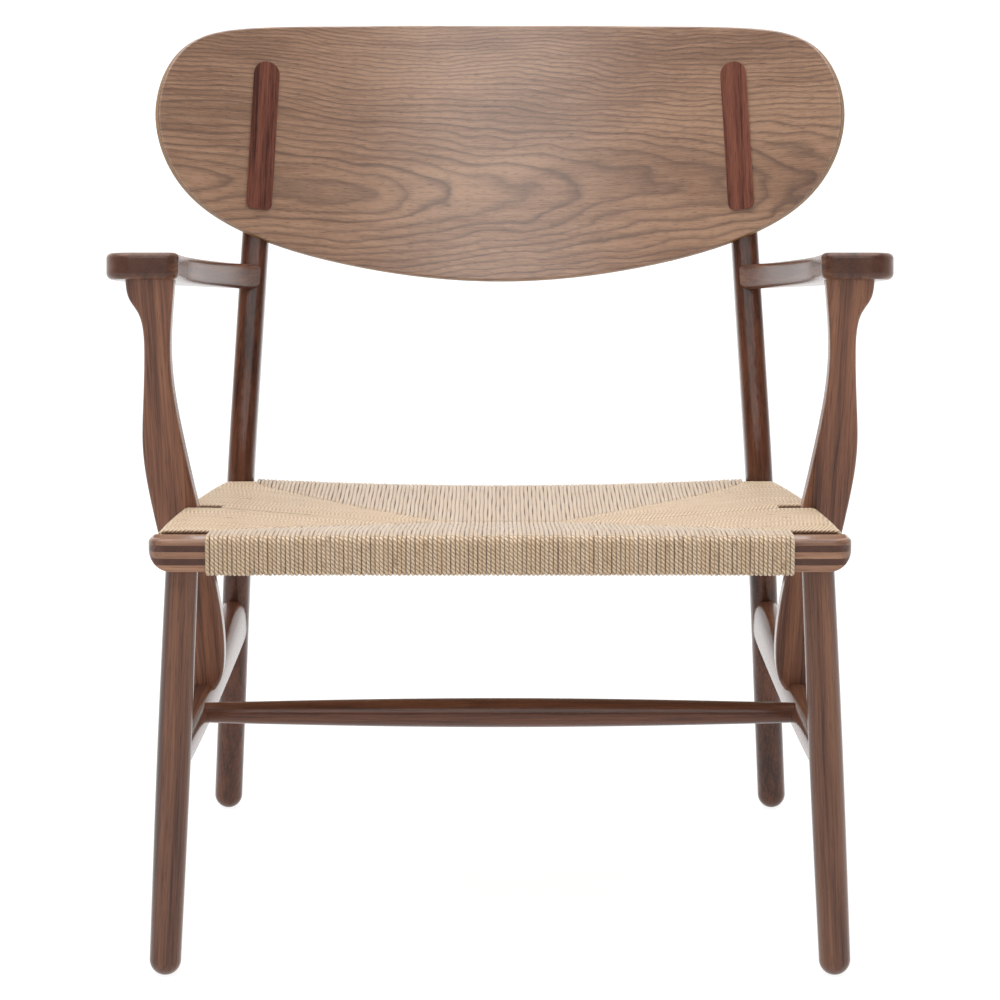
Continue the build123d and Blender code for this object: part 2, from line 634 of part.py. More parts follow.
def build_chair():
    """Every piece in place, by node name, before the chair is centred."""
    # the pieces before their joints are cut
    front_leg = front_leg_blank() & frame_slab(RAIL_THICKNESS, FAR)
    rear_leg = rear_leg_blank()
    side_bar = side_stretcher_blank()
    cross_bar = cross_stretcher_blank()
    front_rail = front_rail_blank()
    rear_rail = rear_rail_blank() - both(rear_leg)
    tongues = corner_tongues(front_rail)
    arm = arm_blank()
    under_arm = ARM_FRAME * block((-FAR, FAR), (-FAR, FAR), (-FAR, ARM_HOUSING - ARM_THICKNESS))
    support = (support_blank() & under_arm) - arm - side_bar
    screws = back_screws()
    tacks = cord_tacks()

    # tenons, each added to one piece and cut from the other
    leg_top = front_leg_tenon()
    into_front_leg = side_stretcher_front_tenon()
    support_top = support_tenon(SUPPORT_TOP_TENON_X, SUPPORT_TOP_TENON_Z)
    support_foot = support_tenon(SUPPORT_FOOT_TENON_X, SUPPORT_FOOT_TENON_Z)
    cross_ends = cross_stretcher_tenons()
    rear_leg_tenons = [
        side_stretcher_rear_tenon(), rear_stretcher_tenon(), side_rail_tenon(),
        rear_rail_tenon(), arm_tenon(),
    ]
    into_post, into_low, into_side, into_rear, into_arm = rear_leg_tenons
    back_space = back_layer(-BACK_CLEARANCE, BACK_THICKNESS) & back_wedge()

    lap = support & block((LAP_FACE, FAR), (-FAR, FAR), (0, FAR))
    side_rail = side_rail_blank() - rear_leg - rear_rail
    side_rail = side_rail + tongues + into_side - lap - leg_top - tacks
    support = support + support_top + support_foot - side_rail

    nodes = {
        "front_seat_rail": front_rail - both(*tongues.solids()) - both(leg_top),
        "rear_seat_rail": rear_rail + both(into_rear),
        "rear_stretcher": rear_stretcher_blank() - both(rear_leg) + both(into_low),
        "cross_stretcher": cross_bar - both(side_bar) + cross_ends,
    }
    pairs = {
        "front_leg": front_leg + leg_top - into_front_leg,
        "rear_leg": rear_leg - rear_leg_tenons - back_space - screws,
        "side_seat_rail": side_rail,
        "side_stretcher": side_bar - front_leg - rear_leg + into_front_leg + into_post
        - cross_ends - support_foot,
        "arm": arm - rear_leg + into_arm - support_top,
        "arm_support": support,
    }
    for name, piece in pairs.items():
        nodes.update(both_sides(name, piece))
    nodes.update(backrest_nodes(screws))
    nodes["cord_tacks"] = Compound(children=both(*tacks))

    slot_ys = (SUPPORT_FRONT - SLOT_ROOM, SUPPORT_FRONT + SUPPORT_THICKNESS + SLOT_ROOM)
    slot = block((SLOT_INNER, FAR), slot_ys, (0, FAR))
    frame = [front_rail, rear_rail, *both(side_rail), *both(rear_leg)]
    nodes.update(weave_nodes(frame, slot, tacks))
    return nodes


def main():
    nodes = build_chair()
    boxes = [piece.bounding_box() for piece in nodes.values()]
    front = min(box.min.Y for box in boxes)
    back = max(box.max.Y for box in boxes)
    floor = min(box.min.Z for box in boxes)
    centred = Pos(0, -(front + back) / 2, -floor)
    os.makedirs("parts", exist_ok=True)
    for name, piece in nodes.items():
        export_step(centred * piece, f"parts/{name}.step")


main()
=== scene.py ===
import math
import random

import bpy
import numpy as np
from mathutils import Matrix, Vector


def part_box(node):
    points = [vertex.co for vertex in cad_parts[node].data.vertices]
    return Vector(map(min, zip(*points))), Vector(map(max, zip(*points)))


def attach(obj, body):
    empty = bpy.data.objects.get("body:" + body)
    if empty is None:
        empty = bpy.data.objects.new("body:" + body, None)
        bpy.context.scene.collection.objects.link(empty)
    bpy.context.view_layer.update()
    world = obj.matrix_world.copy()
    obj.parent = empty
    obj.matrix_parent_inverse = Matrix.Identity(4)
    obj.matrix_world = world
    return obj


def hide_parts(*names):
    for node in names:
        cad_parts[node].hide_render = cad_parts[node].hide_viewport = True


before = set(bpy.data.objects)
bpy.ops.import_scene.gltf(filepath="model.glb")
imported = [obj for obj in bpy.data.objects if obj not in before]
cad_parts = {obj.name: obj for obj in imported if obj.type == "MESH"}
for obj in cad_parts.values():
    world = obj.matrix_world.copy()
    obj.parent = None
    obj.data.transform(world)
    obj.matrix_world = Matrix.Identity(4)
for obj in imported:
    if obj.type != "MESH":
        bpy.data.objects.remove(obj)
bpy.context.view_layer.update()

# A low lounge armchair in oiled walnut with a seat woven from paper cord.  Metres, in the
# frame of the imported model.  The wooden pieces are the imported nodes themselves, with walnut
# materials; the four plain fields of the seat are replaced by their real cords.

SEED = 22

# ------------------------------------------------------------ camera and stage
CAMERA_PLACE = (0.0, -3.2185, 1.0205)
CAMERA_PITCH = 78.22        # degrees from straight down
CAMERA_LENS = 129.73        # mm
CAMERA_SENSOR = 36          # mm
CAMERA_REACH = 200          # nothing further away is seen
FLOOR_HALF = 60.0
FLOOR_GREY = 0.12
FLOOR_SPECKLE = 0.02        # how much lighter its speckles are
FLOOR_GLOW = 0.91
BACKDROP = 1.05             # brightness behind the chair
ROOM = 0.10                 # brightness of the dim room in front of it
ROOM_FADE = (-0.5, 0.6)     # Y of the directions between which the room turns into the backdrop
# strength, spread, and tilts about X and Y away from straight overhead, in degrees
SUNS = {"overhead": (3.1, 70, 4, -6), "front": (0.55, 30, 60, 0)}

# ------------------------------------------------------------------ seat frame
SEAT_SLOPE = math.radians(5.7)
RAIL_THICKNESS = 0.0274
FRONT_RAIL_DEPTH = 0.040
REAR_RAIL = (0.452, 0.474)  # Y of its front and rear faces
REAR_RAIL_SAG = 0.006
# Y and X of points on the edges of the side rails
SIDE_RAIL_OUTER = ((0.040, 0.2855), (0.130, 0.2836), (0.230, 0.2790), (0.340, 0.2715), (0.462, 0.2590))
SIDE_RAIL_INNER = ((0.072, 0.2485), (0.130, 0.2526), (0.230, 0.2490), (0.340, 0.2415), (0.462, 0.2290))
LEAST_RAIL_WIDTH = 0.004
EDGE_ROUND = 0.004
SHARP_ROUND = 0.0008

# ------------------------------------------------------------------ paper cord
CORD = 0.0034
CORD_OFFSET = CORD / 2      # the cord's centre line above what it lies on
CORD_LAY = 0.0105           # one full turn of the plies
CORD_PLIES = 3.0
CORD_SIDES = 8
CORD_SPREAD = 1.12          # a cord pressed between its neighbours is wider than thick
CORD_SIZES = (0.965, 1.03)  # thinnest and thickest cord, as a share of the usual one
FRONT_PITCH = 0.0037
SIDE_PITCH = 0.00367
REAR_PITCH = 0.00374
FRONT_CORNER = (0.2445, 0.0406)     # X and Y where the diagonals of the weave start
REAR_CORNER = (0.2320, 0.4440)
MIDDLE = (0.053, 0.247)     # half length of the middle line, and its Y
MIDDLE_SAG = 0.0163
MIDDLE_THICKNESS = 0.011
REAR_SAG_POWER = 0.55       # how quickly the rear diagonals sink from the corners
MIDDLE_SPLIT = 0.0012       # the side cords part by this much beside the middle line
SPLIT_REACH = 0.022
SPLIT_START = 0.35          # as a share of the rest of the cord, from the rail to where it parts
SLOT_Y = (0.2132, 0.2388)   # where the side cords pass inside the arm support
SLOT_INNER = 0.2496
RUN_STEP = 0.009
RUN_CLEARANCE = 0.001       # between the end of a straight run and the bend after it
TURN_LENGTH = 0.0024        # the last stretch of a cord, where it turns down
# distance inwards and height of the points on it, from where a straight cord would end
TURN_IN = ((0.0007, -0.0056), (0.0004, -0.0030), (-0.0008, -0.0008))
LEAST_SHARE = 0.012         # how far along a diagonal the cord beside the corner turns down
LEAST_SPAN = 0.0001
WANDER = 0.00022            # how far a cord strays from its straight line
WANDER_STEP = 0.55          # the angle by which the straying turns from point to point
WANDER_LIFT = (0.0, 0.0, 0.6)   # its share up and down
WANDER_LIFT_STEP = 0.7      # and how much slower that turns
UNEVEN = 0.00032            # how unevenly the side cords lie beside each other

CORD_LIGHT = (0.740, 0.580, 0.410)
CORD_WARM = (0.560, 0.380, 0.220)
# the dark of the paper's flecks, also used as painted shade in the creases between the plies and where
# cords meet
CORD_FLECK_AND_PAINTED_SHADE = (0.200, 0.095, 0.036)
WAX = {"IOR": 1.45, "Coat Weight": 0.60, "Coat Roughness": 0.35,
       "Sheen Weight": 0.30, "Sheen Roughness": 0.40}

# -------------------------------------------------------------------- backrest
BACK_LEAN = math.atan2(0.30, 1)
BACK_RADIUS = 0.650
BACK_REFERENCE = (0.5305, 0.520)    # Y from the seat frame's front face, and height
FACE_VENEER = 0.0013
PLY = 0.0014

# ------------------------------------------------------------------------ wood
# light, middle and dark tones of the oiled wood, and its end grain
WALNUT = ((0.240, 0.108, 0.058), (0.150, 0.061, 0.034), (0.050, 0.020, 0.013), (0.070, 0.031, 0.022))
RAIL_WALNUT = ((0.450, 0.245, 0.150), (0.300, 0.155, 0.095), (0.120, 0.058, 0.038), (0.100, 0.050, 0.036))
# a darker, redder walnut that carries painted shade, for the rear legs, the cross stretcher and the rear
# stretcher, which lie in shade
PAINTED_SHADE_WALNUT = ((0.200, 0.072, 0.034), (0.115, 0.039, 0.019), (0.040, 0.014, 0.008), (0.055, 0.022, 0.014))
CAP_WALNUT = ((0.215, 0.083, 0.052), (0.150, 0.052, 0.035), (0.045, 0.016, 0.012), (0.060, 0.025, 0.018))
VENEER_LIGHT = (0.440, 0.262, 0.165)
VENEER_MID = (0.270, 0.148, 0.090)
VENEER_DARK = (0.095, 0.055, 0.042)
PLY_GOLD = (0.500, 0.270, 0.085)
PLY_BROWN = (0.130, 0.060, 0.030)
PLY_GLUE = (0.050, 0.025, 0.016)
OIL = {"Specular IOR Level": 0.14, "Coat Weight": 1.0, "Coat Roughness": 0.20, "Coat IOR": 1.33}
VENEER_OIL = {"Specular IOR Level": 0.70, "Coat Weight": 0.85, "Coat Roughness": 0.28, "Coat IOR": 1.42}

RING = 0.0034               # thickness of a year's growth
RING_WAVE = 0.024           # how far the rings wander along the trunk
RING_VARIETY = 1.7
LATE_DARKENING = 0.16
PORE_DARKENING = 0.50
END_DARKENING = 0.80
VENEER_RING = 0.0125
VENEER_DRIFT = 0.05         # how far the pith wanders up and down beside the sheet
VENEER_CUT = (0.030, 0.055)     # least and greatest distance of the sheet from the pith
VENEER_TAPER = 0.115        # by how much that distance grows per metre from left to right
VENEER_SWAY = 0.026
VENEER_RIPPLE = 0.0050
VENEER_CLOSING = 7.0        # how much closer the rings lie further out
VENEER_LATE_DARKENING = 0.78
# another seed is another sheet; the axis is the middle of its cathedral, above the reference height
FACE_FIGURE = {"seed": 3, "axis_height": 0.085}
REAR_FIGURE = {"seed": 8, "axis_height": 0.120}
# place across one growth ring, and darkness
LATE_WOOD = ((0.0, 0.3), (0.15, 0.0), (0.55, 0.12), (0.88, 1.0), (1.0, 0.3))
# place across a dark and a light ply, and colour
PLY_BANDS = ((0.0, PLY_GLUE), (0.06, PLY_BROWN), (0.46, PLY_BROWN), (0.50, PLY_GLUE),
             (0.55, PLY_GOLD), (0.96, PLY_GOLD), (1.0, PLY_GLUE))

# the direction of the grain in each kind of piece, on the right of the chair
GRAIN = {
    "front_seat_rail": (1, 0, 0),
    "rear_seat_rail": (1, 0, 0),
    "side_seat_rail": (0.03, 1, -0.1),
    "front_leg": (-0.056, 0.051, 1),
    "rear_leg": (-0.06, 0.18, 1),
    "side_stretcher": (-0.04, 1, 0.03),
    "cross_stretcher": (1, 0, 0),
    "rear_stretcher": (1, 0, 0),
    "arm": (-0.22, 1, -0.17),
    "arm_support": (0.05, 0, 1),
    "cover_cap": (-0.05, 0.28, 1),
}
# how much lighter or darker each kind of piece is made: partly its own tone, and partly painted light and
# painted shade, lighter on the arm supports where more light falls and darker on the rear legs, which lie
# in shade
USUAL_LIGHTNESS = 0.95
LIGHTNESS_AND_PAINTED_LIGHT = {"arm_support": 1.30, "front_leg": 0.92, "rear_leg": 0.88, "cover_cap": 1.2}
TONES = {"front_seat_rail": RAIL_WALNUT, "cover_cap": CAP_WALNUT, "rear_leg": PAINTED_SHADE_WALNUT,
         "cross_stretcher": PAINTED_SHADE_WALNUT, "rear_stretcher": PAINTED_SHADE_WALNUT}

ZINC = (0.62, 0.60, 0.56)
BLUED_STEEL = (0.10, 0.10, 0.12)

COS, SIN = math.cos(SEAT_SLOPE), math.sin(SEAT_SLOPE)


def seat_frame_origin():
    """Y and Z of the seat frame's top front edge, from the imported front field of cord."""
    low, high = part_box("seat_cord_front")
    y = low.y + CORD * COS + (RAIL_THICKNESS + CORD) * SIN
    z = high.z - CORD * (COS + SIN)
    return y, z


SEAT_Y, SEAT_Z = seat_frame_origin()
BACK_ORIGIN = (0.0, SEAT_Y + BACK_REFERENCE[0], BACK_REFERENCE[1])


def to_world(points):
    """Points of the sloping seat frame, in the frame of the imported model."""
    x, y, z = points.T
    return np.stack([x, SEAT_Y + y * COS + z * SIN, SEAT_Z - y * SIN + z * COS], axis=1)


# ------------------------------------------------------------------ node graphs
def grey(value):
    return (value, value, value)


class Graph:
    """A material's node tree, with short ways to add nodes."""

    def __init__(self, name):
        self.material = bpy.data.materials.new(name)
        self.material.use_nodes = True
        self.tree = self.material.node_tree
        self.tree.nodes.clear()

    def node(self, kind, inputs=None, **settings):
        node = self.tree.nodes.new(kind)
        for name, value in settings.items():
            setattr(node, name, value)
        for key, value in (inputs or {}).items():
            if isinstance(value, bpy.types.NodeSocket):
                self.tree.links.new(value, node.inputs[key])
            else:
                node.inputs[key].default_value = value
        return node

    def coordinates(self, kind="Object"):
        return self.node("ShaderNodeTexCoord").outputs[kind]

    def math(self, operation, a, b=0.0):
        return self.node("ShaderNodeMath", {0: a, 1: b}, operation=operation).outputs[0]

    def vector(self, operation, a, b=(0.0, 0.0, 0.0), output="Vector"):
        return self.node("ShaderNodeVectorMath", {0: a, 1: b}, operation=operation).outputs[output]

    def split(self, vector):
        """The X, Y and Z of a vector."""
        outputs = self.node("ShaderNodeSeparateXYZ", {0: vector}).outputs
        return outputs["X"], outputs["Y"], outputs["Z"]

    def join(self, x, y=0.0, z=0.0):
        return self.node("ShaderNodeCombineXYZ", {0: x, 1: y, 2: z}).outputs[0]

    def length(self, a, b):
        """The length of a vector that has these two parts."""
        squares = self.math("ADD", self.math("MULTIPLY", a, a), self.math("MULTIPLY", b, b))
        return self.math("SQRT", squares)

    def noise(self, vector, scale=1.0, detail=3.0, roughness=0.55):
        """Noise over a vector; a scale of three numbers is one for each axis."""
        if isinstance(scale, tuple):
            vector = self.vector("MULTIPLY", vector, scale)
            scale = 1.0
        inputs = {"Vector": vector, "Scale": scale, "Detail": detail, "Roughness": roughness}
        return self.node("ShaderNodeTexNoise", inputs).outputs["Fac"]

    def span(self, value, low, high, to_low=0.0, to_high=1.0):
        inputs = {"Value": value, "From Min": low, "From Max": high, "To Min": to_low, "To Max": to_high}
        return self.node("ShaderNodeMapRange", inputs).outputs["Result"]

    def tone(self, shares):
        """A middling tone that noises make lighter and darker, each by its share."""
        tone = 0.5
        for noise, share in shares:
            shift = self.math("MULTIPLY", self.math("SUBTRACT", noise, 0.5), share)
            tone = self.math("ADD", shift, tone)
        return tone

    def ramp(self, value, stops):
        node = self.node("ShaderNodeValToRGB", {"Fac": value})
        elements = node.color_ramp.elements
        while len(elements) < len(stops):
            elements.new(0.5)
        for element, (place, colour) in zip(elements, stops):
            element.position = place
            element.color = (*colour, 1.0)
        return node.outputs["Color"]

    def mix(self, factor, a, b):
        node = self.node("ShaderNodeMix", {0: factor}, data_type="RGBA")
        for key, value in ((6, a), (7, b)):
            if isinstance(value, bpy.types.NodeSocket):
                self.tree.links.new(value, node.inputs[key])
            else:
                node.inputs[key].default_value = (*value, 1.0)
        return node.outputs[2]

    def bump(self, height, distance, strength):
        inputs = {"Height": height, "Distance": distance, "Strength": strength}
        return self.node("ShaderNodeBump", inputs).outputs["Normal"]

    def finish(self, colour, roughness, normal, constants):
        inputs = {"Base Color": colour, "Roughness": roughness, "Normal": normal, **constants}
        shader = self.node("ShaderNodeBsdfPrincipled", inputs)
        output = self.node("ShaderNodeOutputMaterial")
        self.tree.links.new(shader.outputs[0], output.inputs[0])
        return self.material


# ------------------------------------------------------------------------ walnut
def grain_space(graph, along, offset):
    """Object coordinates turned so that Z runs along the grain, and shifted to another part of the log."""
    place = graph.coordinates()
    axis = np.array(along, float)
    axis = axis / np.linalg.norm(axis)
    side = np.cross(axis, (0.0, 1.0, 0.0) if abs(axis[1]) < 0.9 else (1.0, 0.0, 0.0))
    side = side / np.linalg.norm(side)
    third = np.cross(axis, side)
    parts = [graph.vector("DOT_PRODUCT", place, tuple(v), "Value") for v in (side, third, axis)]
    return graph.vector("ADD", graph.join(*parts), offset), tuple(axis)


def late_wood(graph, turns, *limits):
    """The dark late wood of each growth ring, stronger in some rings than in others."""
    number = graph.join(graph.math("FLOOR", turns))
    strength = graph.span(graph.noise(number, RING_VARIETY), *limits)
    stops = [(place, grey(darkness)) for place, darkness in LATE_WOOD]
    return graph.math("MULTIPLY", graph.ramp(graph.math("FRACT", turns), stops), strength)


def wood_bump(graph, fibres, pores, distance):
    """Fine fibres with open pores between them."""
    height = graph.math("SUBTRACT", graph.math("MULTIPLY", fibres, 0.5), pores)
    return graph.bump(height, distance, 0.30)


def solid_walnut(name, along, seed, shade, tones):
    """Oiled solid walnut, cut from a place in the log that the seed picks; the shade makes it lighter or
    darker, partly as its own tone and partly as painted light and painted shade.
    """
    light, mid, dark, end = [tuple(shade * c for c in tone) for tone in tones]
    chance = random.Random(SEED * 1000 + seed)
    offset = (chance.uniform(0.05, 0.11), chance.uniform(0.03, 0.08), chance.uniform(0, 3))
    graph = Graph(name)
    grain, axis = grain_space(graph, along, offset)

    # growth rings about the pith, bent by slow waves along the trunk
    waves = graph.noise(grain, (24.0, 24.0, 2.8))
    radius = graph.vector("LENGTH", graph.vector("MULTIPLY", grain, (1.0, 1.0, 0.0)), output="Value")
    radius = graph.math("ADD", radius, graph.math("MULTIPLY", waves, RING_WAVE))
    late = late_wood(graph, graph.math("DIVIDE", radius, RING), 0.35, 0.65)

    # broad bands, streaks, fine fibres and open pores
    bands = graph.noise(grain, (26.0, 26.0, 1.1), detail=2.0)
    streaks = graph.noise(grain, (110.0, 110.0, 3.0), detail=5.0, roughness=0.62)
    fibres = graph.noise(grain, (900.0, 900.0, 16.0), roughness=0.65)
    pores = graph.span(graph.noise(grain, (1300.0, 1300.0, 50.0), detail=1.5), 0.58, 0.70)

    tone = graph.tone([(bands, 0.65), (streaks, 1.0), (fibres, 0.60)])
    tone = graph.math("SUBTRACT", tone, graph.math("MULTIPLY", late, LATE_DARKENING))
    colour = graph.ramp(tone, [(0.22, dark), (0.47, mid), (0.76, light)])
    colour = graph.mix(graph.math("MULTIPLY", pores, PORE_DARKENING), colour, dark)

    # the ends of the grain drink more oil and are darker
    facing = graph.coordinates("Normal")
    end_grain = graph.math("ABSOLUTE", graph.vector("DOT_PRODUCT", facing, axis, "Value"))
    end_share = graph.math("MULTIPLY", graph.math("POWER", end_grain, 3.0), END_DARKENING)
    colour = graph.mix(end_share, colour, end)

    roughness = graph.span(fibres, 0.3, 0.7, 0.38, 0.50)
    return graph.finish(colour, roughness, wood_bump(graph, fibres, pores, 0.0002), OIL)


def back_space(graph):
    """Object coordinates in the tilted frame of the backrest: X, depth and slope height."""
    shifted = graph.vector("SUBTRACT", graph.coordinates(), BACK_ORIGIN)
    inputs = {"Vector": shifted, "Angle": BACK_LEAN}
    return graph.node("ShaderNodeVectorRotate", inputs, rotation_type="X_AXIS").outputs[0]


def walnut_veneer(name, seed, axis_height):
    """Crown-cut walnut veneer with its cathedral figure lying on its side."""
    graph = Graph(name)
    x, _, height = graph.split(back_space(graph))
    sheet = graph.join(x, height, float(seed))

    # the sheet is a plane cut beside the pith, which wanders along the trunk
    drift = graph.noise(sheet, (3.6, 0.8, 1.0), detail=1.0)
    sway = graph.noise(sheet, (7.0, 13.0, 1.0), detail=2.0)
    ripple = graph.noise(sheet, (24.0, 70.0, 1.0))
    pith = graph.math("ADD", graph.math("MULTIPLY", drift, VENEER_DRIFT), axis_height - VENEER_DRIFT / 2)
    rise = graph.math("SUBTRACT", height, pith)
    cut = graph.span(drift, 0.2, 0.8, *VENEER_CUT)
    away = graph.math("ADD", graph.math("MULTIPLY", x, VENEER_TAPER), cut)
    radius = graph.length(rise, away)
    radius = graph.math("ADD", radius, graph.math("MULTIPLY", sway, VENEER_SWAY))
    radius = graph.math("ADD", radius, graph.math("MULTIPLY", ripple, VENEER_RIPPLE))
    closer = graph.math("ADD", graph.math("MULTIPLY", radius, VENEER_CLOSING), 1.0)
    turns = graph.math("DIVIDE", graph.math("MULTIPLY", radius, closer), VENEER_RING)
    late = late_wood(graph, turns, 0.3, 0.7, 0.45, 1.0)

    streaks = graph.noise(sheet, (7.0, 170.0, 1.0), detail=5.0, roughness=0.65)
    fibres = graph.noise(sheet, (50.0, 1000.0, 1.0), roughness=0.7)
    pores = graph.span(graph.noise(sheet, (110.0, 1100.0, 1.0), detail=1.0), 0.57, 0.70)
    cloud = graph.noise(sheet, (5.0, 16.0, 1.0), detail=2.0)

    tone = graph.tone([(streaks, 1.1), (cloud, 1.2), (fibres, 1.0)])
    colour = graph.ramp(tone, [(0.25, VENEER_MID), (0.70, VENEER_LIGHT)])
    colour = graph.mix(graph.math("MULTIPLY", late, VENEER_LATE_DARKENING), colour, VENEER_DARK)
    colour = graph.mix(graph.math("MULTIPLY", pores, PORE_DARKENING), colour, VENEER_DARK)
    roughness = graph.span(fibres, 0.3, 0.7, 0.34, 0.46)
    return graph.finish(colour, roughness, wood_bump(graph, fibres, pores, 0.00015), VENEER_OIL)


def plywood_edge(name):
    """The plies of the backrest's core, seen on edge as thin bands that follow its curve."""
    graph = Graph(name)
    place = back_space(graph)
    x, depth, _ = graph.split(place)
    radius = graph.length(x, graph.math("ADD", depth, BACK_RADIUS))
    plies = graph.math("DIVIDE", graph.math("SUBTRACT", radius, BACK_RADIUS + FACE_VENEER), PLY)
    colour = graph.ramp(graph.math("FRACT", graph.math("DIVIDE", plies, 2.0)), PLY_BANDS)
    fibres = graph.noise(place, (160.0, 900.0, 160.0))
    colour = graph.mix(graph.span(fibres, 0.35, 0.75, 0.0, 0.45), colour, PLY_BROWN)
    roughness = graph.span(fibres, 0.3, 0.7, 0.42, 0.56)
    return graph.finish(colour, roughness, graph.bump(fibres, 0.0002, 0.3), {"IOR": 1.46})


# ---------------------------------------------------------------- other finishes
def paper_cord(name):
    """Three-ply twisted paper cord; the map's U counts turns of the lay and V goes round the cord."""
    graph = Graph(name)
    turns, around, _ = graph.split(graph.node("ShaderNodeUVMap", uv_map="cord").outputs[0])
    phase = graph.math("MULTIPLY", graph.math("SUBTRACT", around, turns), CORD_PLIES)
    centred = graph.math("SUBTRACT", graph.math("MULTIPLY", graph.math("FRACT", phase), 2.0), 1.0)
    hump = graph.math("SUBTRACT", 1.0, graph.math("MULTIPLY", centred, centred))

    # each cord has its own tone, and its paper has patches, fine grain and long flecks
    strand = graph.node("ShaderNodeAttribute", attribute_name="strand").outputs["Fac"]
    place = graph.coordinates()
    paper = graph.noise(place, 1100.0, detail=2.0)
    patch = graph.noise(place, 90.0)
    lengthways = graph.join(graph.math("MULTIPLY", turns, 0.9), graph.math("MULTIPLY", strand, 90.0))
    fleck = graph.noise(lengthways, detail=2.0)
    warm = graph.math("ADD", graph.math("MULTIPLY", strand, 0.55), graph.math("MULTIPLY", patch, 0.45))
    colour = graph.mix(graph.math("MULTIPLY", warm, 0.80), CORD_LIGHT, CORD_WARM)
    colour = graph.mix(graph.span(paper, 0.35, 0.75, 0.0, 0.35), colour, CORD_WARM)
    colour = graph.mix(graph.span(fleck, 0.58, 0.72, 0.0, 0.40), colour, CORD_FLECK_AND_PAINTED_SHADE)

    # painted shade in the creases between the plies, and where a cord meets its neighbour
    sideways = graph.math("ABSOLUTE", graph.math("COSINE", graph.math("MULTIPLY", around, 2 * math.pi)))
    painted_contact_shade = graph.math("MULTIPLY", graph.span(sideways, 0.62, 0.95), graph.span(hump, 0.2, 1.0, 1.0, 0.25))
    colour = graph.mix(graph.span(hump, 0.0, 0.60, 0.90, 0.0), colour, CORD_FLECK_AND_PAINTED_SHADE)
    colour = graph.mix(graph.math("MULTIPLY", painted_contact_shade, 0.85), colour, CORD_FLECK_AND_PAINTED_SHADE)
    height = graph.math("ADD", graph.math("SQRT", hump), graph.math("MULTIPLY", paper, 0.25))
    roughness = graph.span(paper, 0.3, 0.7, 0.55, 0.72)
    return graph.finish(colour, roughness, graph.bump(height, 0.0009, 1.0), WAX)


def metal(name, colour, wear_scale):
    """Steel with fine scratches and a little wear."""
    graph = Graph(name)
    place = graph.coordinates()
    scratches = graph.noise(place, (900.0, 200.0, 900.0))
    worn = graph.noise(place, wear_scale, detail=2.0)
    shade = graph.mix(graph.span(worn, 0.4, 0.7, 0.0, 0.5), colour, tuple(0.55 * c for c in colour))
    roughness = graph.span(scratches, 0.3, 0.7, 0.25, 0.45)
    return graph.finish(shade, roughness, graph.bump(scratches, 0.0001, 0.2), {"Metallic": 1.0})


# -------------------------------------------------------------------- cord paths
def smooth_edge(points):
    """A smooth curve through the edge points of a rail, as a function of Y."""
    ys, xs = np.array(points).T
    return np.poly1d(np.polyfit(ys, xs, len(points) - 1))


SIDE_OUTER = smooth_edge(SIDE_RAIL_OUTER)
SIDE_INNER = smooth_edge(SIDE_RAIL_INNER)


def arc(centre, radius, start, end, count=4):
    """Points on an arc in the plane of one cord; angles in degrees."""
    angles = np.radians(np.linspace(start, end, count))
    return np.stack([centre[0] + radius * np.cos(angles), centre[1] + radius * np.sin(angles)], axis=1)


def run(start_u, end_u, height):
    """Evenly spaced points between two distances, at the height that a function gives."""
    count = max(2, math.ceil(abs(end_u - start_u) / RUN_STEP) + 1)
    us = np.linspace(start_u, end_u, count)
    return np.stack([us, height(us)], axis=1)


def cord_loop(reach, inner, top, sink, lift, top_round, low_round):
    """One cord, from the middle of the seat over the rail and back underneath.

    The points are distances from the rail's outer face and heights.  reach is how far in
    the cord turns down, inner is the rail's inner face, top the rail's top, and sink and
    lift are how far the cord has sunk on top and risen underneath where it turns.
    """
    bottom = top - RAIL_THICKNESS
    span = max(reach - inner, LEAST_SPAN)

    def above(u):
        return top + CORD_OFFSET - sink * np.clip((u - inner) / span, 0, 1)

    def below(u):
        return bottom - CORD_OFFSET + lift * np.clip((u - inner) / span, 0, 1)

    turn_in = np.array(TURN_IN)
    return np.concatenate([
        turn_in + (reach, above(reach)),
        run(reach - TURN_LENGTH, top_round + RUN_CLEARANCE, above),
        arc((top_round, top - top_round), top_round + CORD_OFFSET, 90, 180),
        arc((low_round, bottom + low_round), low_round + CORD_OFFSET, 180, 270),
        run(low_round + RUN_CLEARANCE, reach - TURN_LENGTH, below),
        turn_in[::-1] * (1, -1) + (reach, below(reach)),
    ])


def diagonal_sink(share, rear):
    """How far the top of the weave has sunk on a diagonal; share is 0 at its corner and 1 at the middle."""
    return MIDDLE_SAG * share ** (REAR_SAG_POWER if rear else 1.0)


def diagonal_lift(share):
    """How far the underside has risen on a diagonal, at the same share of its length."""
    bottom = CORD - MIDDLE_SAG - MIDDLE_THICKNESS
    return (bottom + RAIL_THICKNESS + CORD) * share


def end_field(corner, rail_y, inwards, inner, pitch, rear):
    """Seat-frame points of the cords of the front or rear field, from left to right."""
    low_round = EDGE_ROUND if rear else SHARP_ROUND
    count = round(2 * corner[0] / pitch)
    paths = []
    for n in range(count):
        x = -corner[0] + (n + 0.5) * 2 * corner[0] / count
        share = min(1.0, (corner[0] - abs(x)) / (corner[0] - MIDDLE[0]))
        share = max(share, LEAST_SHARE)
        reach = abs(corner[1] + share * (MIDDLE[1] - corner[1]) - rail_y)
        top = -REAR_RAIL_SAG * (1 - (x / corner[0]) ** 2) if rear else 0.0
        sink = max(diagonal_sink(share, rear) + top, 0.0)
        lift = diagonal_lift(share) - top
        u, z = cord_loop(reach, inner, top, sink, lift, EDGE_ROUND, low_round).T
        paths.append(np.stack([np.full_like(u, x), rail_y + inwards * u, z], axis=1))
    return paths


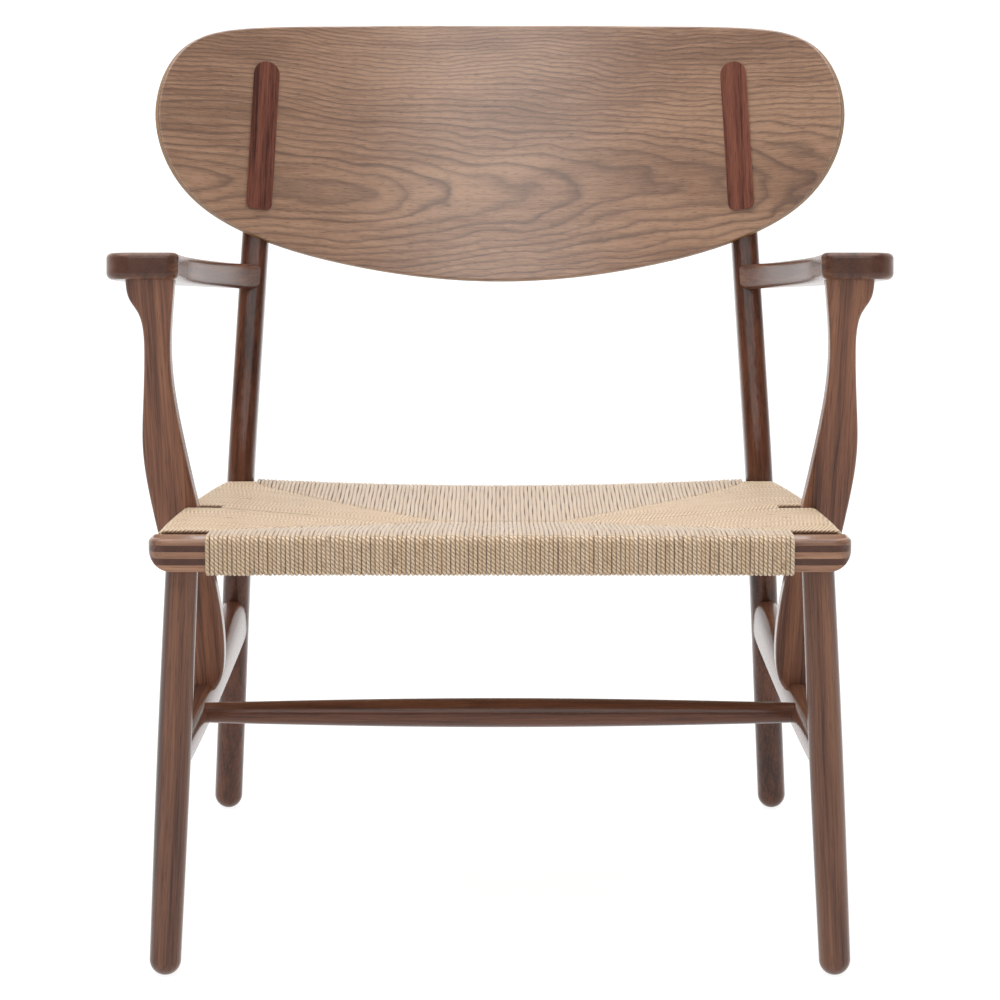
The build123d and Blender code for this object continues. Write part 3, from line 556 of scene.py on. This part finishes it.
def side_loops():
    """Cords of a side field, from front to back: Y, X of the outer edge, and loop."""
    chance = random.Random(SEED)
    start, end = FRONT_CORNER[1], REAR_CORNER[1]
    count = round((end - start) / SIDE_PITCH)
    loops = []
    for n in range(count):
        y = start + (n + 0.5) * (end - start) / count + chance.gauss(0, UNEVEN)
        rear = y > MIDDLE[1]
        corner = REAR_CORNER if rear else FRONT_CORNER
        share = max(abs(y - corner[1]) / abs(MIDDLE[1] - corner[1]), LEAST_SHARE)
        turn_x = corner[0] + share * (MIDDLE[0] - corner[0])
        in_slot = SLOT_Y[0] < y < SLOT_Y[1]
        outer = SLOT_INNER - CORD if in_slot else SIDE_OUTER(y)
        edge = SHARP_ROUND if in_slot else EDGE_ROUND
        inner = max(outer - SIDE_INNER(max(y, SIDE_RAIL_INNER[0][0])), LEAST_RAIL_WIDTH)
        sink, lift = diagonal_sink(share, rear), diagonal_lift(share)
        loops.append((y, outer, cord_loop(outer - turn_x, inner, 0.0, sink, lift, edge, edge)))
    return loops


def side_field(loops, hand):
    """Seat-frame points of the side cords, on the right for a hand of 1 and mirrored for -1."""
    paths = []
    for y, outer, loop in loops:
        u, z = loop.T
        inwards = np.clip(u / u.max(), 0, 1)
        opening = np.sin(math.pi * np.clip((1 + SPLIT_START) * inwards - SPLIT_START, 0, 1))
        parting = MIDDLE_SPLIT * opening * math.exp(-abs(y - MIDDLE[1]) / SPLIT_REACH)
        ys = y + (parting if y > MIDDLE[1] else -parting)
        paths.append(np.stack([hand * (outer - u), ys, z], axis=1))
    return paths


# ------------------------------------------------------------------- cord meshes
def strayed(path, side, chance):
    """A path that wanders a little from its line, sideways and up and down."""
    wave = chance.uniform(0, 2 * math.pi)
    phase = np.arange(len(path))[:, None] * WANDER_STEP + wave
    lift = np.cos(phase * WANDER_LIFT_STEP + wave) * np.array(WANDER_LIFT)
    return path + WANDER * (np.sin(phase) * side + lift)


def tube(path, side, radius):
    """Rings of points round a path that lies in a plane square to side."""
    tangent = np.gradient(path, axis=0)
    tangent /= np.linalg.norm(tangent, axis=1)[:, None]
    normal = np.cross(np.broadcast_to(side, path.shape), tangent)
    normal /= np.linalg.norm(normal, axis=1)[:, None]
    angles = np.arange(CORD_SIDES) / CORD_SIDES * 2 * math.pi
    rings = CORD_SPREAD * side * np.cos(angles)[:, None] + normal[:, None, :] * np.sin(angles)[:, None]
    return path[:, None, :] + radius * rings


def tube_quads(base, count):
    """The sides of a tube of count rings whose first point has the number base."""
    corner = np.arange(CORD_SIDES)
    following = (corner + 1) % CORD_SIDES
    ring = base + np.arange(count - 1)[:, None] * CORD_SIDES
    beyond = ring + CORD_SIDES
    quads = np.stack([ring + corner, ring + following, beyond + following, beyond + corner], axis=2)
    return quads.reshape(-1, 4)


def tube_map(turns):
    """Map places of a tube's quads: U is the count of turns at each ring, and V goes round."""
    shape = (len(turns) - 1, CORD_SIDES)
    start = np.broadcast_to(turns[:-1, None], shape)
    end = np.broadcast_to(turns[1:, None], shape)
    around = np.broadcast_to(np.arange(CORD_SIDES) / CORD_SIDES, shape)
    further = around + 1 / CORD_SIDES
    corners = [(start, around), (start, further), (end, further), (end, around)]
    return np.stack([np.stack(place, axis=2) for place in corners], axis=2).reshape(-1, 2)


def cord_mesh(name, paths, side, chance):
    """One mesh of many cords, each a closed tube with its lay in the map."""
    vertices, quads, ends, places, strands = [], [], [], [], []
    first_ring = np.arange(CORD_SIDES)
    base = 0
    for straight in paths:
        path = strayed(straight, side, chance)
        count = len(path)
        rings = tube(path, side, CORD / 2 * chance.uniform(*CORD_SIZES))
        steps = np.linalg.norm(np.diff(path, axis=0), axis=1)
        turns = np.concatenate([[0], np.cumsum(steps)]) / CORD_LAY + chance.uniform(0, 1)
        vertices.append(to_world(rings.reshape(-1, 3)))
        quads.append(tube_quads(base, count))
        places.append(tube_map(turns))
        strands.append(np.full(count * CORD_SIDES, chance.uniform(0, 1)))
        last_ring = first_ring + (count - 1) * CORD_SIDES
        ends.append((base + first_ring[::-1]).tolist())
        ends.append((base + last_ring).tolist())
        base += count * CORD_SIDES
    mesh = bpy.data.meshes.new(name)
    mesh.from_pydata(np.concatenate(vertices).tolist(), [], np.concatenate(quads).tolist() + ends)
    places = np.concatenate(places)
    end_places = np.zeros((len(mesh.loops) - len(places), 2))
    cord_map = mesh.uv_layers.new(name="cord")
    cord_map.data.foreach_set("uv", np.concatenate([places, end_places]).ravel())
    strand = mesh.attributes.new("strand", "FLOAT", "POINT")
    strand.data.foreach_set("value", np.concatenate(strands))
    mesh.polygons.foreach_set("use_smooth", [True] * len(mesh.polygons))
    piece = bpy.data.objects.new(name, mesh)
    bpy.context.scene.collection.objects.link(piece)
    return piece


def weave():
    """The four fields of cord, each riding on the frame in place of its plain solid."""
    chance = random.Random(SEED)
    material = paper_cord("paper_cord")
    across = np.array((1.0, 0.0, 0.0))
    lengthways = np.array((0.0, 1.0, 0.0))
    rail_front, rail_back = REAR_RAIL
    side = side_loops()
    fields = {
        "front": (end_field(FRONT_CORNER, 0.0, 1, FRONT_RAIL_DEPTH, FRONT_PITCH, False), across),
        "rear": (end_field(REAR_CORNER, rail_back, -1, rail_back - rail_front, REAR_PITCH, True), across),
        "left": (side_field(side, -1), lengthways),
        "right": (side_field(side, 1), lengthways),
    }
    for field, (paths, axis) in fields.items():
        piece = cord_mesh("woven_cord_" + field, paths, axis, chance)
        piece.data.materials.append(material)
        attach(piece, "root")
        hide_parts("seat_cord_" + field)


# --------------------------------------------------------------------- dressing
def dress(node, material):
    """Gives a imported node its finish."""
    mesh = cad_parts[node].data
    if not mesh.materials:
        mesh.materials.append(material)
    for index in range(len(mesh.materials)):
        mesh.materials[index] = material


def dress_wood():
    seed = 0
    for node in sorted(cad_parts):
        hand = -1 if node.endswith("_left") else 1
        kind = node.removesuffix("_left").removesuffix("_right")
        if kind not in GRAIN:
            continue
        seed += 1
        x, y, z = GRAIN[kind]
        tones = TONES.get(kind, WALNUT)
        # its lightness, partly its own tone and partly painted light and painted shade
        shade = LIGHTNESS_AND_PAINTED_LIGHT.get(kind, USUAL_LIGHTNESS)
        dress(node, solid_walnut("walnut_" + node, (hand * x, y, z), seed, shade, tones))


def dress_backrest():
    dress("backrest_face_veneer", walnut_veneer("face_veneer", **FACE_FIGURE))
    dress("backrest_rear_veneer", walnut_veneer("rear_veneer", **REAR_FIGURE))
    dress("backrest_core", plywood_edge("core_plies"))


def dress_fasteners():
    dress("back_screws", metal("zinc_screw", ZINC, wear_scale=351.0))
    dress("cord_tacks", metal("blued_tack", BLUED_STEEL, wear_scale=352.0))


# --------------------------------------------------------------- floor and light
def studio_floor():
    mesh = bpy.data.meshes.new("studio_floor")
    h = FLOOR_HALF
    mesh.from_pydata([(-h, -h, 0), (h, -h, 0), (h, h, 0), (-h, h, 0)], [], [(0, 1, 2, 3)])
    floor = bpy.data.objects.new("studio_floor", mesh)
    bpy.context.scene.collection.objects.link(floor)
    graph = Graph("floor_paper")
    speckle = graph.noise(graph.coordinates(), 300.0, detail=2.0)
    colour = graph.ramp(speckle, [(0.3, grey(FLOOR_GREY)), (0.7, grey(FLOOR_GREY + FLOOR_SPECKLE))])
    constants = {"Emission Color": (1.0, 1.0, 1.0, 1.0), "Emission Strength": FLOOR_GLOW}
    mesh.materials.append(graph.finish(colour, 0.9, graph.bump(speckle, 0.0001, 0.1), constants))


def sun(name, strength, spread, tilt_x, tilt_y):
    """A broad soft light at infinity; the tilts lean it away from straight overhead."""
    data = bpy.data.lights.new(name, "SUN")
    data.energy = strength
    data.angle = math.radians(spread)
    light = bpy.data.objects.new(name, data)
    light.rotation_euler = (math.radians(tilt_x), math.radians(tilt_y), 0)
    bpy.context.scene.collection.objects.link(light)


def studio_light():
    """A bright backdrop behind the chair that fades to a dim room in front, and the suns."""
    world = bpy.data.worlds.new("studio")
    world.use_nodes = True
    tree = world.node_tree
    direction = tree.nodes.new("ShaderNodeTexCoord").outputs["Generated"]
    depth = tree.nodes.new("ShaderNodeSeparateXYZ")
    tree.links.new(direction, depth.inputs[0])
    fade = tree.nodes.new("ShaderNodeMapRange")
    tree.links.new(depth.outputs["Y"], fade.inputs["Value"])
    room_end, backdrop_start = ROOM_FADE
    fade.inputs["From Min"].default_value = room_end
    fade.inputs["From Max"].default_value = backdrop_start
    fade.inputs["To Min"].default_value = ROOM
    fade.inputs["To Max"].default_value = BACKDROP
    background = tree.nodes["Background"]
    background.inputs["Color"].default_value = (1.0, 1.0, 1.0, 1.0)
    tree.links.new(fade.outputs["Result"], background.inputs["Strength"])
    bpy.context.scene.world = world
    for name, settings in SUNS.items():
        sun(name, *settings)


def camera():
    data = bpy.data.cameras.new("camera")
    data.lens = CAMERA_LENS
    data.sensor_width = CAMERA_SENSOR
    data.clip_end = CAMERA_REACH
    view = bpy.data.objects.new("camera", data)
    view.location = CAMERA_PLACE
    view.rotation_euler = (math.radians(CAMERA_PITCH), 0, 0)
    bpy.context.scene.collection.objects.link(view)
    bpy.context.scene.camera = view


camera()
studio_floor()
studio_light()
bpy.context.scene.view_settings.view_transform = "Standard"
dress_wood()
dress_backrest()
dress_fasteners()
weave()
